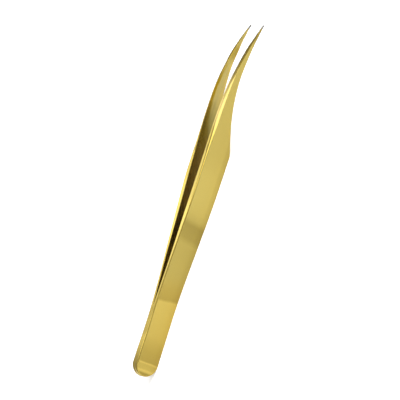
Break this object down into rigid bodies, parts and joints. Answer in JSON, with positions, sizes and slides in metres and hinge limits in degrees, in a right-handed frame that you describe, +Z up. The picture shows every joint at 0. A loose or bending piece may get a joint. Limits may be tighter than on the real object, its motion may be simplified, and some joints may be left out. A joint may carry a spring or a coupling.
{
  "type": "stamp tongs",
  "caption": "Gold-coloured spring tongs with curved pointed blades: slim mirrored arms, welded face to face at the round heel, that close at the points when pinched.",
  "frame": {"origin": "on the rest plane, halfway between the heel and the points and midway between the arms", "axes": "+X from the welded heel to the points, +Z up from the straight lower edges, Y across the opening"},
  "size_m": [0.12, 0.01, 0.0089],
  "materials": {
    "gold_plated_steel": "bright gold-coloured plating over ground and polished spring steel",
    "weld_metal": "fused steel inside the welded heel"
  },
  "bodies": {
    "heel": {"right_arm_heel": "gold_plated_steel", "left_arm_heel": "gold_plated_steel", "spot_welds": "weld_metal"},
    "right_blade": {"right_arm_blade": "gold_plated_steel"},
    "left_blade": {"left_arm_blade": "gold_plated_steel"}
  },
  "joints": [
    {"name": "right_arm_flex", "type": "hinge", "parent": "heel", "child": "right_blade", "pos_m": [-0.026, -0.00093, 0.004], "axis": [0, 0, 1], "range_deg": [0, 2.5], "stiffness_Nm_per_rad": 1.5},
    {"name": "left_arm_flex", "type": "hinge", "parent": "heel", "child": "left_blade", "pos_m": [-0.026, 0.00093, 0.004], "axis": [0, 0, -1], "range_deg": [0, 2.5], "stiffness_Nm_per_rad": 1.5}
  ]
}
